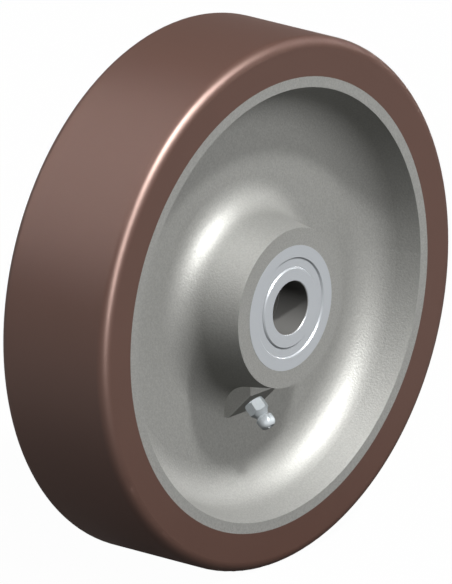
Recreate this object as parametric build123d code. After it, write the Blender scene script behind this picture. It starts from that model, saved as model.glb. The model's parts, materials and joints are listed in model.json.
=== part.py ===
from build123d import *
import os
from math import cos, radians, sin, sqrt, tan

# Castor wheel: cast centre, polyurethane tread, two shielded ball bearings and a grease nipple.
# The origin is the wheel's centre. The axle lies along Y, the nipple is on the -Y side, below the hub.
# All lengths are in millimetres and all angles in degrees.

# Tread
tread_diameter = 200.0
tread_width = 50.0
tread_thickness = 14.75
tread_edge_round = 4.0

# Wheel centre: rim, web and hub, one casting
rim_land_width = 4.0        # flat ring at the side of the rim
rim_draft = 17.5            # slope of the rim's inner wall
rim_web_round = 15.5
web_thickness = 10.0
hub_length = 60.0           # over the bearings' inner rings, the length that the axle clamps
hub_face_diameter = 60.0
hub_draft = 9.0
hub_web_round = 11.5
hub_face_setback = 0.1      # the bearings stand this far out of the hub's faces
bearing_shoulder = 3.0      # height of the step that stops a bearing in the hub

# Ball bearing, 20 x 47 x 14
axle_bore = 20.0
bearing_diameter = 47.0
bearing_width = 14.0
inner_ring_wall = 5.3
outer_ring_wall = 5.0
bore_chamfer = 0.35
land_chamfer = 0.5          # at the ring edges beside the shield
ball_diameter = 7.938
ball_count = 8
ball_clearance = 0.05       # between a ball and the bottom of each raceway
raceway_conformity = 1.04   # raceway radius over ball radius

# Shield, a pressed disc with a lip, snapped into a groove in the outer ring
shield_recess = 0.6
shield_sheet = 0.4
shield_groove_depth = 0.8
shield_lip_length = 1.0
shield_gap = 0.1            # running gap to the inner ring

# Ball cage: two pressed ribbons joined by rivets
cage_sheet = 0.6
cage_gap = 0.3              # from the cage to each ring
pocket_clearance = 0.1
rivet_diameter = 1.2
rivet_clearance = 0.02
rivet_head_diameter = 2.0
rivet_head_height = 0.5

# Spacer tube between the inner rings
spacer_wall = 3.0

# Boss for the nipple, cast on the hub and the web
boss_width = 16.0
boss_height = 15.0          # how far it hangs below the hub's face
boss_stand = 12.5           # how far it stands out from the web
boss_foot = 2.0             # flat foot between the web and the slope

# Grease nipple, set square on the boss's 45 degree slope
thread_diameter = 6.0
thread_length = 5.5
thread_clearance = 0.05
thread_chamfer = 0.5
grease_hole_diameter = 4.0
hex_across_flats = 7.0
hex_height = 4.9
hex_base_chamfer = 0.3
hex_top_diameter = 6.4
neck_diameter = 4.7
neck_taper_length = 1.3
neck_length = 0.2
head_diameter = 6.5
head_flare_length = 0.8
head_band_length = 1.9
head_crown_length = 2.2
tip_diameter = 3.7
tip_hole_diameter = 1.5
tip_wall = 0.5
passage_diameter = 2.6
crimp_hole_diameter = 1.6
crimp_thickness = 0.5
check_ball_diameter = 2.4
check_ball_clearance = 0.02
spring_diameter = 2.3
spring_wire = 0.34
spring_turns = 8

# Sizes that follow from the ones above
tread_radius = tread_diameter / 2
half_width = tread_width / 2
rim_radius = tread_radius - tread_thickness
rim_inner_radius = rim_radius - rim_land_width
half_web = web_thickness / 2
half_hub = hub_length / 2
hub_radius = hub_face_diameter / 2
hub_face_y = half_hub - hub_face_setback
bearing_centre = half_hub - bearing_width / 2
bearing_inner_end = half_hub - bearing_width
bore_radius = axle_bore / 2
bearing_radius = bearing_diameter / 2
half_bearing = bearing_width / 2
cavity_radius = bearing_radius - bearing_shoulder
inner_land_radius = bore_radius + inner_ring_wall
outer_land_radius = bearing_radius - outer_ring_wall
pitch_radius = (inner_land_radius + outer_land_radius) / 2
ball_radius = ball_diameter / 2
raceway_radius = ball_radius * raceway_conformity
inner_raceway_bottom = pitch_radius - ball_radius - ball_clearance
outer_raceway_bottom = pitch_radius + ball_radius + ball_clearance
shield_groove_radius = outer_land_radius + shield_groove_depth
cage_inner_radius = inner_land_radius + cage_gap
cage_outer_radius = outer_land_radius - cage_gap
pocket_radius = ball_radius + pocket_clearance
rivet_radius = rivet_diameter / 2
boss_front_y = half_web + boss_stand
boss_foot_y = half_web + boss_foot
boss_bottom = hub_radius + boss_height
boss_slope_top = boss_bottom - (boss_front_y - boss_foot_y)
nipple_seat_y = (boss_foot_y + boss_front_y) / 2
nipple_seat_drop = (boss_bottom + boss_slope_top) / 2
ball_step = 360 / ball_count


def turned(points, radii):
    """Solid of revolution about the axle from closed outline points (radius, y), with corner radii."""
    with BuildPart() as solid:
        with BuildSketch(Plane.XY):
            with BuildLine():
                FilletPolyline(*points, radius=radii, close=True)
            make_face()
        revolve(axis=Axis.Y)
    return solid.part


def turned_sharp(points):
    return turned(points, [0] * len(points))


def tube(inner, outer, low, high):
    """Plain ring about the axle between two radii, from y = low to y = high."""
    return turned_sharp([(inner, low), (outer, low), (outer, high), (inner, high)])


def around_axle(radius, angle):
    """Point at an angle round the axle, measured from +X towards +Z."""
    return (radius * cos(radians(angle)), 0, radius * sin(radians(angle)))


def ball_angles():
    return [ball_step * i for i in range(ball_count)]


def rivet_angles():
    return [ball_step * (i + 0.5) for i in range(ball_count)]


def nipple_seat():
    """Frame on the boss's slope: its origin is the middle of the slope and its Z points out of it."""
    return Plane(
        origin=(0, -nipple_seat_y, -nipple_seat_drop), x_dir=(1, 0, 0), z_dir=(0, -1, -1)
    ).location


def tread():
    points = [
        (rim_radius, -half_width),
        (tread_radius, -half_width),
        (tread_radius, half_width),
        (rim_radius, half_width),
    ]
    return turned(points, [0, tread_edge_round, tread_edge_round, 0])


def casting_half_outline():
    """Rim edge, rim foot, hub foot and hub edge of the side at +Y, each with its corner radius."""
    rim_foot = rim_inner_radius - (half_width - half_web) * tan(radians(rim_draft))
    hub_foot = hub_radius + (hub_face_y - half_web) * tan(radians(hub_draft))
    return [
        ((rim_inner_radius, half_width), 0),
        ((rim_foot, half_web), rim_web_round),
        ((hub_foot, half_web), hub_web_round),
        ((hub_radius, hub_face_y), 0),
    ]


def boss():
    """Block with a 45 degree slope, rooted in the hub wall and the web."""
    root = (hub_radius + bearing_radius) / 2
    outline = [
        (0, -root),
        (-boss_front_y, -root),
        (-boss_front_y, -boss_slope_top),
        (-boss_foot_y, -boss_bottom),
        (0, -boss_bottom),
    ]
    with BuildPart() as block:
        with BuildSketch(Plane.YZ):
            with BuildLine():
                Polyline(*outline, close=True)
            make_face()
        extrude(amount=boss_width / 2, both=True)
    return block.part


def nipple_hole():
    """Threaded seat for the nipple and the grease hole from its foot into the hub's cavity."""
    reach = (nipple_seat_drop - cavity_radius / 2) * sqrt(2)
    seat_depth = thread_length + thread_chamfer
    seat = Cylinder(
        thread_diameter / 2, 2 * seat_depth, align=(Align.CENTER, Align.CENTER, Align.CENTER)
    )
    grease_hole = Cylinder(
        grease_hole_diameter / 2, reach, align=(Align.CENTER, Align.CENTER, Align.MAX)
    )
    return nipple_seat() * (seat + grease_hole)


def wheel_centre():
    side = casting_half_outline()
    front = [((r, -y), radius) for (r, y), radius in reversed(side)]
    bore = [
        ((bearing_radius, hub_face_y), 0),
        ((bearing_radius, bearing_inner_end), 0),
        ((cavity_radius, bearing_inner_end), 0),
        ((cavity_radius, -bearing_inner_end), 0),
        ((bearing_radius, -bearing_inner_end), 0),
        ((bearing_radius, -hub_face_y), 0),
    ]
    outside = [((rim_radius, -half_width), 0), ((rim_radius, half_width), 0)]
    corners = side + bore + front + outside
    casting = turned([point for point, _ in corners], [radius for _, radius in corners])
    return casting + boss() - nipple_hole()


def inner_ring():
    """Bearing inner ring about its own centre, with its raceway round the outside."""
    end = half_bearing
    points = [
        (bore_radius, -end + bore_chamfer),
        (bore_radius + bore_chamfer, -end),
        (inner_land_radius - land_chamfer, -end),
        (inner_land_radius, -end + land_chamfer),
        (inner_land_radius, end - land_chamfer),
        (inner_land_radius - land_chamfer, end),
        (bore_radius + bore_chamfer, end),
        (bore_radius, end - bore_chamfer),
    ]
    groove = Torus(inner_raceway_bottom + raceway_radius, raceway_radius)
    return turned_sharp(points) - Rot(90, 0, 0) * groove


def outer_ring():
    """Bearing outer ring about its own centre. The shield's groove is at its -Y end."""
    end = half_bearing
    groove_start = -end + shield_recess
    groove_end = groove_start + shield_lip_length
    points = [
        (bearing_radius, -end),
        (bearing_radius, end),
        (outer_land_radius + land_chamfer, end),
        (outer_land_radius, end - land_chamfer),
        (outer_land_radius, groove_end),
        (shield_groove_radius, groove_end),
        (shield_groove_radius, groove_start),
        (outer_land_radius, groove_start),
        (outer_land_radius, -end + land_chamfer),
        (outer_land_radius + land_chamfer, -end),
    ]
    groove = Torus(outer_raceway_bottom - raceway_radius, raceway_radius)
    return turned_sharp(points) - Rot(90, 0, 0) * groove


def shield():
    """Flat disc whose rim is bent into a lip that fills the outer ring's groove."""
    face = -half_bearing + shield_recess
    back = face + shield_sheet
    lip_end = face + shield_lip_length
    inner = inner_land_radius + shield_gap
    lip_inner = shield_groove_radius - shield_sheet
    points = [
        (inner, face),
        (shield_groove_radius, face),
        (shield_groove_radius, lip_end),
        (lip_inner, lip_end),
        (lip_inner, back),
        (inner, back),
    ]
    return turned_sharp(points)


def ball(angle):
    return Pos(*around_axle(pitch_radius, angle)) * Sphere(ball_radius)


def cage_half(side):
    """Pressed ribbon on one side of the balls: flats between them and a pocket round each ball."""
    crown_radius = pocket_radius + cage_sheet
    reach = side * crown_radius
    flat = side * cage_sheet
    band = tube(cage_inner_radius, cage_outer_radius, min(0, reach), max(0, reach))
    ribbon = tube(cage_inner_radius, cage_outer_radius, min(0, flat), max(0, flat))
    centres = [around_axle(pitch_radius, angle) for angle in ball_angles()]
    crowns = [Pos(*centre) * Sphere(crown_radius) for centre in centres]
    pockets = [Pos(*centre) * Sphere(pocket_radius) for centre in centres]
    hole = Rot(90, 0, 0) * Cylinder(rivet_radius, 4 * cage_sheet)
    holes = [Pos(*around_axle(pitch_radius, angle)) * hole for angle in rivet_angles()]
    return ((ribbon + crowns) & band) - pockets - holes


def rivet():
    """Rivet along Y through both ribbons, with a domed head at each end."""
    shank = rivet_radius - rivet_clearance
    head = rivet_head_diameter / 2
    grip = cage_sheet
    top = grip + rivet_head_height
    dome = (head * head + rivet_head_height ** 2) / (2 * rivet_head_height)
    with BuildPart() as solid:
        with BuildSketch(Plane.XY):
            with BuildLine():
                RadiusArc((0, top), (head, grip), dome)
                Polyline((head, grip), (shank, grip), (shank, -grip), (head, -grip))
                RadiusArc((head, -grip), (0, -top), dome)
                Line((0, -top), (0, top))
            make_face()
        revolve(axis=Axis.Y)
    return solid.part


def cage_rivets():
    """The eight rivets of one cage, as separate solids in one node."""
    return [Pos(*around_axle(pitch_radius, angle)) * rivet() for angle in rivet_angles()]


def spacer_tube():
    return tube(bore_radius, bore_radius + spacer_wall, -bearing_inner_end, bearing_inner_end)


def nipple_heights():
    """Heights above the slope at which the nipple's outline changes, from the neck to the tip."""
    neck = hex_height + neck_taper_length
    flare = neck + neck_length
    band = flare + head_flare_length
    crown = band + head_band_length
    tip = crown + head_crown_length
    return neck, flare, band, crown, tip


def nipple_body():
    """Shank, hexagon, neck and head, drilled through, standing on the slope along its own Z."""
    neck, flare, band, crown, tip = nipple_heights()
    shank = thread_diameter / 2 - thread_clearance
    waist = neck_diameter / 2
    head = head_diameter / 2
    top = hex_top_diameter / 2
    with BuildPart() as core:
        with BuildSketch(Plane.XZ):
            with BuildLine():
                Polyline(
                    (0, tip),
                    (0, -thread_length),
                    (shank - thread_chamfer, -thread_length),
                    (shank, thread_chamfer - thread_length),
                    (shank, 0),
                    (top, 0),
                    (top, hex_height),
                    (waist, neck),
                    (waist, flare),
                    (head, band),
                    (head, crown),
                )
                nose = TangentArc((head, crown), (tip_diameter / 2, tip), tangent=(0, 1))
                Line(nose @ 1, (0, tip))
            make_face()
        revolve(axis=Axis.Z)
    return nipple_seat() * (core.part + nipple_hexagon() - nipple_passage(tip))


def nipple_hexagon():
    """Hexagon with two flats square to the wheel's X axis, its corners turned off at both ends."""
    flat = hex_across_flats / 2
    corner = flat / cos(radians(30))
    rise = corner - flat
    top = hex_top_diameter / 2
    envelope = [
        (0, 0),
        (flat, 0),
        (corner, hex_base_chamfer + rise),
        (corner, hex_height - (corner - top)),
        (top, hex_height),
        (0, hex_height),
    ]
    prism = extrude(RegularPolygon(flat, 6, major_radius=False, rotation=30), amount=hex_height)
    with BuildPart() as cone:
        with BuildSketch(Plane.XZ):
            with BuildLine():
                Polyline(*envelope, close=True)
            make_face()
        revolve(axis=Axis.Z)
    return prism & cone.part


def nipple_passage(tip):
    """Bore for the check ball and its spring, with the tip hole above and the crimp below."""
    passage_top = tip - tip_wall
    passage_foot = crimp_thickness - thread_length
    passage = Pos(0, 0, passage_foot) * Cylinder(
        passage_diameter / 2,
        passage_top - passage_foot,
        align=(Align.CENTER, Align.CENTER, Align.MIN),
    )
    tip_hole = Pos(0, 0, passage_top) * Cylinder(tip_hole_diameter / 2, 2 * tip_wall)
    crimp_hole = Pos(0, 0, -thread_length) * Cylinder(crimp_hole_diameter / 2, 2 * crimp_thickness)
    crimp_hole += Pos(0, 0, passage_foot) * Cylinder(crimp_hole_diameter / 2, crimp_thickness)
    return passage + tip_hole + crimp_hole


def check_ball_height():
    """The ball rests under the edge of the tip hole."""
    tip = nipple_heights()[-1]
    ball_to_edge = sqrt((check_ball_diameter / 2) ** 2 - (tip_hole_diameter / 2) ** 2)
    return tip - tip_wall - ball_to_edge - check_ball_clearance


def nipple_ball():
    return nipple_seat() * Pos(0, 0, check_ball_height()) * Sphere(check_ball_diameter / 2)


def nipple_spring():
    """Coil spring from the crimp to the underside of the check ball."""
    wire = spring_wire / 2
    coil = spring_diameter / 2 - wire
    foot = crimp_thickness - thread_length + wire + check_ball_clearance
    ball_height = check_ball_height()
    ball_touch = sqrt((check_ball_diameter / 2 + wire) ** 2 - coil ** 2)
    height = ball_height - ball_touch - check_ball_clearance - foot
    path = Helix(pitch=height / spring_turns, height=height, radius=coil)
    start = Plane(origin=path @ 0, z_dir=path % 0)
    spring = sweep(start * Circle(wire), path=path, is_frenet=True)
    return nipple_seat() * Pos(0, 0, foot) * spring


def at_front(piece):
    return Pos(0, -bearing_centre, 0) * piece


def at_rear(piece):
    """A bearing's pieces turned end for end, so that the shield faces outwards there too."""
    return Pos(0, bearing_centre, 0) * Rot(0, 0, 180) * piece


def bearing_pieces():
    pieces = {
        "outer_ring": outer_ring(),
        "inner_ring": inner_ring(),
        "shield": shield(),
        "cage_outboard": cage_half(-1),
        "cage_inboard": cage_half(1),
    }
    for i, angle in enumerate(ball_angles(), start=1):
        pieces[f"ball_{i}"] = ball(angle)
    return pieces


def all_pieces():
    pieces = {
        "tread": tread(),
        "wheel_centre": wheel_centre(),
        "spacer_tube": spacer_tube(),
        "nipple_body": nipple_body(),
        "nipple_ball": nipple_ball(),
        "nipple_spring": nipple_spring(),
    }
    rivets = cage_rivets()
    for side, place in (("front", at_front), ("rear", at_rear)):
        for name, piece in bearing_pieces().items():
            pieces[f"{side}_{name}"] = place(piece)
        pieces[f"{side}_cage_rivets"] = Compound(children=[place(piece) for piece in rivets])
    return pieces


os.makedirs("parts", exist_ok=True)
for name, piece in all_pieces().items():
    export_step(piece, f"parts/{name}.step")
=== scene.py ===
import json
from math import cos, radians, sin

import bpy
from mathutils import Matrix, Vector


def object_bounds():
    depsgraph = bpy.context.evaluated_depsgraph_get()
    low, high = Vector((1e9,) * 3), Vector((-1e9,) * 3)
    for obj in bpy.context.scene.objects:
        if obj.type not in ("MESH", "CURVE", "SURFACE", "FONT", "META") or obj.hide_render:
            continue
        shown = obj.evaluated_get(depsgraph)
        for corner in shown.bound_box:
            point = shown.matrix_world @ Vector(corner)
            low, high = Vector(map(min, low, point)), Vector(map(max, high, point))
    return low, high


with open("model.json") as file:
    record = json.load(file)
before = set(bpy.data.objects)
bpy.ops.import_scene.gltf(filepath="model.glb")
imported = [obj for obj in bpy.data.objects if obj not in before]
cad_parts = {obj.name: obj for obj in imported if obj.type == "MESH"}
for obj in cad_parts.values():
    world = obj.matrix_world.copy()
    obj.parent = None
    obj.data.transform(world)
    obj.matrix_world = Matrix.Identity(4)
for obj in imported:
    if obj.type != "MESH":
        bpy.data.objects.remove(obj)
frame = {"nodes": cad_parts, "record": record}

cad_low, cad_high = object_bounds()
nodes = frame["nodes"]

# Lengths are in metres and angles in degrees, unless a name says otherwise. Colours are linear.

# Photograph: its size, where the wheel's centre lies in it, and where it was taken from
PHOTO_WIDTH, PHOTO_HEIGHT = 452, 584
CENTRE_PIXEL = (227.45, 292.0)
VIEW_AZIMUTH, VIEW_ELEVATION = -50.35, 17.89
PIXELS_PER_METRE = 2733.3
LENS_MM, SENSOR_MM = 1300.0, 36.0
CAMERA_REACH = 100.0

# Floor and background
WHITE = (1, 1, 1, 1)
FLOOR_HALF_SIZE = 6.0
FLOOR_COLOUR = (0.80, 0.80, 0.80, 1)
FLOOR_ROUGHNESS = 0.9
FLOOR_WHITE_SHARE = 0.97        # plain white; the rest is the floor's shading, with the shadow
FLOOR_REFLECTED = 0.20          # share of the white floor that reflections show
SKY_REFLECTED = 0.13            # share of the white background that reflections show
# Painted shade: the white floor that reflections see is darkened near the wheel, in place of its
# shadow there.
PAINTED_SHADE_FADE = (0.10, 0.30)       # distances from the wheel's centre between which that share rises
PAINTED_SHADE_NEAR_SHARE = 0.18               # how much of it is left next to the wheel
SKY_BOTTOM, SKY_SIDE, SKY_TOP = 0.078, 0.084, 0.090

# Lamps: direction towards the lamp, strength, apparent size, and whether it casts a shadow
LAMPS = {
    "key": ((-0.066, -0.549, 0.834), 1.85, 6.0, True),
    "front": ((-0.210, -0.700, 0.683), 1.42, 14.0, False),
    "right": ((0.93, -0.20, 0.30), 0.25, 40.0, False),
    "back_left": ((-0.40, 0.58, 0.71), 0.62, 70.0, False),
    "edge_high": ((0.240, -0.700, 0.673), 1.20, 32.0, False),
    "edge_low": ((-0.413, -0.888, 0.203), 1.20, 32.0, False),
}
HIGHLIGHT_ONLY = ("edge_high", "edge_low")      # these show in gloss alone
# Nodes that a lamp leaves out, or the only ones that it lights. The back lamp casts no shadow, so
# it would fill the bore. The edge lamps make the long highlight on the tread's edge.
LINKED = {
    "back_left": ("EXCLUDE", ("front_inner_ring", "spacer_tube")),
    "edge_high": ("INCLUDE", ("tread",)),
    "edge_low": ("INCLUDE", ("tread",)),
}

# Surfaces
TREAD_BROWN = (0.090, 0.0375, 0.0245, 1)
TREAD_GLOSS = (1.0, 0.72, 0.64, 1)
TREAD_IOR = 2.0
LACQUER_SILVER = (0.64, 0.64, 0.611, 1)
LACQUER_METALLIC = 0.68
STEEL, STEEL_METALLIC = (0.82, 0.86, 0.90, 1), 0.4
BALL_STEEL, BALL_METALLIC = (0.80, 0.81, 0.82, 1), 1.0
ZINC, ZINC_METALLIC = (0.89, 0.96, 1.00, 1), 0.06
BORE_GREY = (0.37, 0.365, 0.35, 1)      # the spacer tube, and the bores of the inner rings
BORE_RADIUS = 0.0101                    # how far out the rings have that grey
BORE_EDGE = 0.0001                      # width over which it turns into the rings' own colour

# Sockets of a colour Mix node, which share their names with others of the node
MIX_FACTOR, MIX_FIRST, MIX_SECOND, MIX_RESULT = 0, 6, 7, 2


def new_material(name):
    """Material with an empty Principled shader; returns it with its nodes, links and shader."""
    material = bpy.data.materials.new(name)
    material.use_nodes = True
    tree = material.node_tree
    return material, tree.nodes, tree.links, tree.nodes["Principled BSDF"]


def place(made):
    """Position on the piece, in metres."""
    return made.new("ShaderNodeTexCoord").outputs["Object"]


def length(made, link, vector):
    """Length of a vector."""
    node = made.new("ShaderNodeVectorMath")
    node.operation = "LENGTH"
    link.new(vector, node.inputs[0])
    return node.outputs["Value"]


def calculated(made, link, operation, first, second):
    """Result of a Math node on two terms, of which the second may be a plain number."""
    node = made.new("ShaderNodeMath")
    node.operation = operation
    link.new(first, node.inputs[0])
    if isinstance(second, float):
        node.inputs[1].default_value = second
    else:
        link.new(second, node.inputs[1])
    return node.outputs["Value"]


def noise(made, link, vector, scale, detail=4.0, roughness=0.55):
    """Noise from 0 to 1 in three dimensions; scale is about the number of blots to a metre."""
    node = made.new("ShaderNodeTexNoise")
    node.inputs["Scale"].default_value = scale
    node.inputs["Detail"].default_value = detail
    node.inputs["Roughness"].default_value = roughness
    link.new(vector, node.inputs["Vector"])
    return node.outputs["Fac"]


def spread(made, link, value, low, high, start=0.0, end=1.0):
    """Maps a value that runs from start to end onto the range from low to high."""
    node = made.new("ShaderNodeMapRange")
    node.inputs["From Min"].default_value = start
    node.inputs["From Max"].default_value = end
    node.inputs["To Min"].default_value = low
    node.inputs["To Max"].default_value = high
    link.new(value, node.inputs["Value"])
    return node.outputs["Result"]


def ramp(made, link, value, stops):
    """Colour ramp over a value, from (position, colour) stops."""
    node = made.new("ShaderNodeValToRGB")
    ends = node.color_ramp.elements
    ends[0].position, ends[0].color = stops[0]
    ends[1].position, ends[1].color = stops[-1]
    for position, colour in stops[1:-1]:
        ends.new(position).color = colour
    link.new(value, node.inputs["Fac"])
    return node.outputs["Color"]


def shade(colour, share):
    """Darker or lighter copy of a colour."""
    return tuple(c * share for c in colour[:3]) + (1,)


def mottled(made, link, value, colour, darkest, lightest, margin=0.3):
    """Colour that goes from darkest to lightest, as shares of itself, over the value's middle."""
    stops = [(margin, shade(colour, darkest)), (1 - margin, shade(colour, lightest))]
    return ramp(made, link, value, stops)


def bump(made, link, shader, height, strength, distance):
    """Fine relief on the shader from a height of 0 to 1."""
    node = made.new("ShaderNodeBump")
    node.inputs["Strength"].default_value = strength
    node.inputs["Distance"].default_value = distance
    link.new(height, node.inputs["Height"])
    link.new(node.outputs["Normal"], shader.inputs["Normal"])


def polyurethane():
    """Cast polyurethane: satin brown with faint clouds and a fine grain."""
    material, made, link, shader = new_material("polyurethane")
    here = place(made)
    cloud = noise(made, link, here, scale=22.0, detail=3.0)
    colour = mottled(made, link, cloud, TREAD_BROWN, darkest=0.96, lightest=1.04)
    link.new(colour, shader.inputs["Base Color"])
    wear = noise(made, link, here, scale=60.0)
    link.new(spread(made, link, wear, low=0.40, high=0.44), shader.inputs["Roughness"])
    shader.inputs["IOR"].default_value = TREAD_IOR
    shader.inputs["Specular IOR Level"].default_value = 1.0
    shader.inputs["Specular Tint"].default_value = TREAD_GLOSS
    grain = noise(made, link, here, scale=900.0, detail=3.0)
    bump(made, link, shader, grain, strength=0.12, distance=0.0002)
    return material


def lacquered_casting():
    """Silver-grey lacquer over a fine cast grain."""
    material, made, link, shader = new_material("lacquered_casting")
    here = place(made)
    fine = noise(made, link, here, scale=1500.0, detail=2.0)
    colour = mottled(made, link, fine, LACQUER_SILVER, darkest=0.93, lightest=1.06, margin=0.35)
    link.new(colour, shader.inputs["Base Color"])
    shader.inputs["Metallic"].default_value = LACQUER_METALLIC
    shader.inputs["Specular IOR Level"].default_value = 0.1
    wear = noise(made, link, here, scale=90.0)
    link.new(spread(made, link, wear, low=0.53, high=0.59), shader.inputs["Roughness"])
    grain = noise(made, link, here, scale=1300.0, detail=3.0, roughness=0.6)
    bump(made, link, shader, grain, strength=0.60, distance=0.0002)
    return material


def turned_steel(name, colour, low_rough, high_rough, bore_radius=0):
    """Steel turned or ground about the axle in fine rings, and grey as far out as bore_radius."""
    material, made, link, shader = new_material(name)
    across = made.new("ShaderNodeVectorMath")      # the position without its part along the axle
    across.operation = "MULTIPLY"
    across.inputs[1].default_value = (1, 0, 1)
    link.new(place(made), across.inputs[0])
    radius = length(made, link, across.outputs["Vector"])
    rings = made.new("ShaderNodeTexNoise")
    rings.noise_dimensions = "1D"
    rings.inputs["Scale"].default_value = 9000.0
    rings.inputs["Detail"].default_value = 2.0
    link.new(radius, rings.inputs["W"])
    ring = rings.outputs["Fac"]
    tone = mottled(made, link, ring, colour, darkest=0.97, lightest=1.03)
    if bore_radius:
        edge = bore_radius + BORE_EDGE
        outside = spread(made, link, radius, low=0.0, high=1.0, start=bore_radius, end=edge)
        toned = made.new("ShaderNodeMix")
        toned.data_type = "RGBA"
        toned.inputs[MIX_FIRST].default_value = BORE_GREY
        link.new(outside, toned.inputs[MIX_FACTOR])
        link.new(tone, toned.inputs[MIX_SECOND])
        tone = toned.outputs[MIX_RESULT]
    link.new(tone, shader.inputs["Base Color"])
    shader.inputs["Metallic"].default_value = STEEL_METALLIC
    link.new(spread(made, link, ring, low_rough, high_rough), shader.inputs["Roughness"])
    bump(made, link, shader, ring, strength=0.05, distance=0.00005)
    return material


def plated(name, colour, metallic, low_rough, high_rough):
    """Bright plated or polished metal with a faint mottle."""
    material, made, link, shader = new_material(name)
    mottle = noise(made, link, place(made), scale=800.0, detail=3.0)
    tone = mottled(made, link, mottle, colour, darkest=0.95, lightest=1.03)
    link.new(tone, shader.inputs["Base Color"])
    shader.inputs["Metallic"].default_value = metallic
    link.new(spread(made, link, mottle, low_rough, high_rough), shader.inputs["Roughness"])
    bump(made, link, shader, mottle, strength=0.04, distance=0.0001)
    return material


def dress(node, material):
    """Gives a CAD node its material."""
    mesh = nodes[node].data
    mesh.materials.clear()
    mesh.materials.append(material)


def dress_all():
    """Materials by the record's slots; the spacer tube has the bore's grey all over."""
    ring_steel = turned_steel(
        "ring_steel", STEEL, low_rough=0.36, high_rough=0.42, bore_radius=BORE_RADIUS
    )
    sheet_steel = turned_steel("sheet_steel", STEEL, low_rough=0.34, high_rough=0.42)
    tube_steel = turned_steel("tube_steel", BORE_GREY, low_rough=0.34, high_rough=0.42)
    ball_steel = plated("ball_steel", BALL_STEEL, BALL_METALLIC, low_rough=0.06, high_rough=0.10)
    zinc = plated("zinc", ZINC, ZINC_METALLIC, low_rough=0.16, high_rough=0.22)
    by_slot = {
        "tread": polyurethane(),
        "casting": lacquered_casting(),
        "bearing_steel": ring_steel,
        "shield_steel": sheet_steel,
        "ball_steel": ball_steel,
        "zinc": zinc,
    }
    for part in frame["record"]["subparts"]:
        dress(part["node"], by_slot[part["material_slot"]])
    dress("spacer_tube", tube_steel)


def background_seen(made, link, in_reflections, painted_shade=None):
    """Share of white that a ray sees: all for the camera and through glass, less in reflections."""
    path = made.new("ShaderNodeLightPath").outputs
    reflected = calculated(made, link, "MULTIPLY", path["Is Glossy Ray"], in_reflections)
    # painted shade: near the wheel the floor's white in reflections is darkened
    if painted_shade is not None:
        reflected = calculated(made, link, "MULTIPLY", reflected, painted_shade)
    direct = calculated(
        made, link, "MAXIMUM", path["Is Camera Ray"], path["Is Transmission Ray"]
    )
    return calculated(made, link, "MAXIMUM", direct, reflected)


def covered(made, link, own, white, share, output):
    """Covers the own look of a floor or sky with a share of white, and links it to the output."""
    mix = made.new("ShaderNodeMixShader")
    link.new(share, mix.inputs["Fac"])
    link.new(own, mix.inputs[1])
    link.new(white, mix.inputs[2])
    link.new(mix.outputs["Shader"], made[output].inputs["Surface"])


def floor():
    """Pale floor under the tread. It looks nearly white and keeps a trace of the wheel's shadow."""
    low_z = cad_low[2]
    size = FLOOR_HALF_SIZE
    corners = [(x * size, y * size, low_z) for x, y in ((-1, -1), (1, -1), (1, 1), (-1, 1))]
    mesh = bpy.data.meshes.new("floor")
    mesh.from_pydata(corners, [], [(0, 1, 2, 3)])
    piece = bpy.data.objects.new("floor", mesh)
    bpy.context.scene.collection.objects.link(piece)
    material, made, link, shader = new_material("floor_white")
    shader.inputs["Base Color"].default_value = FLOOR_COLOUR
    shader.inputs["Roughness"].default_value = FLOOR_ROUGHNESS
    glow = made.new("ShaderNodeEmission")
    glow.inputs["Color"].default_value = WHITE
    # Painted shade: reflections see the floor's white fade towards the wheel, standing in for the
    # wheel's shadow on it.
    distance = length(made, link, place(made))
    start, end = PAINTED_SHADE_FADE
    painted_shade_factor = spread(made, link, distance, low=PAINTED_SHADE_NEAR_SHARE, high=1.0, start=start, end=end)
    painted_shade_factor.node.interpolation_type = "SMOOTHSTEP"
    seen = background_seen(made, link, FLOOR_REFLECTED, painted_shade_factor)
    share = calculated(made, link, "MULTIPLY", seen, FLOOR_WHITE_SHARE)
    own, white = shader.outputs["BSDF"], glow.outputs["Emission"]
    covered(made, link, own, white, share, "Material Output")
    mesh.materials.append(material)


def sky():
    """Soft grey light from all round, brightest from above. The camera sees white in its place."""
    world = bpy.data.worlds.new("studio")
    bpy.context.scene.world = world
    world.use_nodes = True
    made, link = world.node_tree.nodes, world.node_tree.links
    soft = made["Background"]
    parts = made.new("ShaderNodeSeparateXYZ")
    link.new(made.new("ShaderNodeTexCoord").outputs["Generated"], parts.inputs["Vector"])
    height = spread(made, link, parts.outputs["Z"], low=0.0, high=1.0, start=-1.0)
    levels = ((0.0, SKY_BOTTOM), (0.5, SKY_SIDE), (1.0, SKY_TOP))
    stops = [(position, shade(WHITE, level)) for position, level in levels]
    link.new(ramp(made, link, height, stops), soft.inputs["Color"])
    plain = made.new("ShaderNodeBackground")
    plain.inputs["Color"].default_value = WHITE
    share = background_seen(made, link, SKY_REFLECTED)
    own, white = soft.outputs["Background"], plain.outputs["Background"]
    covered(made, link, own, white, share, "World Output")


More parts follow.
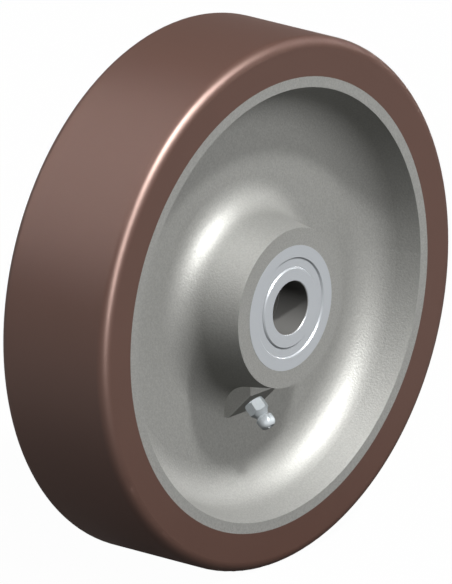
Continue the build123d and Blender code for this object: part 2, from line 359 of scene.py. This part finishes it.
def lamps():
    """Far lamps whose light doesn't bounce. Only the key lamp casts a shadow."""
    for name, (towards, strength, apparent_size, shadow) in LAMPS.items():
        data = bpy.data.lights.new(name, "SUN")
        data.energy = strength
        data.angle = radians(apparent_size)
        data.use_shadow = shadow
        # A wide lamp that casts no shadow hardly counts with multiple importance sampling.
        data.cycles.use_multiple_importance_sampling = shadow
        data.cycles.max_bounces = 0
        lamp = bpy.data.objects.new(name, data)
        lamp.rotation_mode = "QUATERNION"
        lamp.rotation_quaternion = Vector(towards).to_track_quat("Z", "Y")
        bpy.context.scene.collection.objects.link(lamp)
        lamp.visible_diffuse = name not in HIGHLIGHT_ONLY
        if name in LINKED:
            link_lamp(lamp, *LINKED[name])


def link_lamp(lamp, state, members):
    """Makes a lamp leave out the named nodes (EXCLUDE) or light them alone (INCLUDE)."""
    linked = bpy.data.collections.new(f"{lamp.name}_linked")
    for node in members:
        linked.objects.link(nodes[node])
    lamp.light_linking.receiver_collection = linked
    for member in linked.collection_objects:
        member.light_linking.link_state = state


def camera():
    """Long lens far away, so that the wheel looks as flat as in the photograph."""
    azimuth, elevation = radians(VIEW_AZIMUTH), radians(VIEW_ELEVATION)
    back = Vector((sin(azimuth) * cos(elevation), -cos(azimuth) * cos(elevation), sin(elevation)))
    right = Vector((cos(azimuth), sin(azimuth), 0))
    up = back.cross(right)
    distance = LENS_MM / SENSOR_MM * PHOTO_HEIGHT / PIXELS_PER_METRE
    aside = (PHOTO_WIDTH / 2 - CENTRE_PIXEL[0]) / PIXELS_PER_METRE
    above = (CENTRE_PIXEL[1] - PHOTO_HEIGHT / 2) / PIXELS_PER_METRE
    data = bpy.data.cameras.new("camera")
    data.lens = LENS_MM
    data.sensor_width = SENSOR_MM
    data.clip_end = CAMERA_REACH
    eye = bpy.data.objects.new("camera", data)
    stand = Matrix.Translation(right * aside + up * above + back * distance)
    eye.matrix_world = stand @ Matrix((right, up, back)).transposed().to_4x4()
    bpy.context.scene.collection.objects.link(eye)
    bpy.context.scene.camera = eye


dress_all()
floor()
sky()
lamps()
camera()
bpy.context.scene.view_settings.view_transform = "Standard"
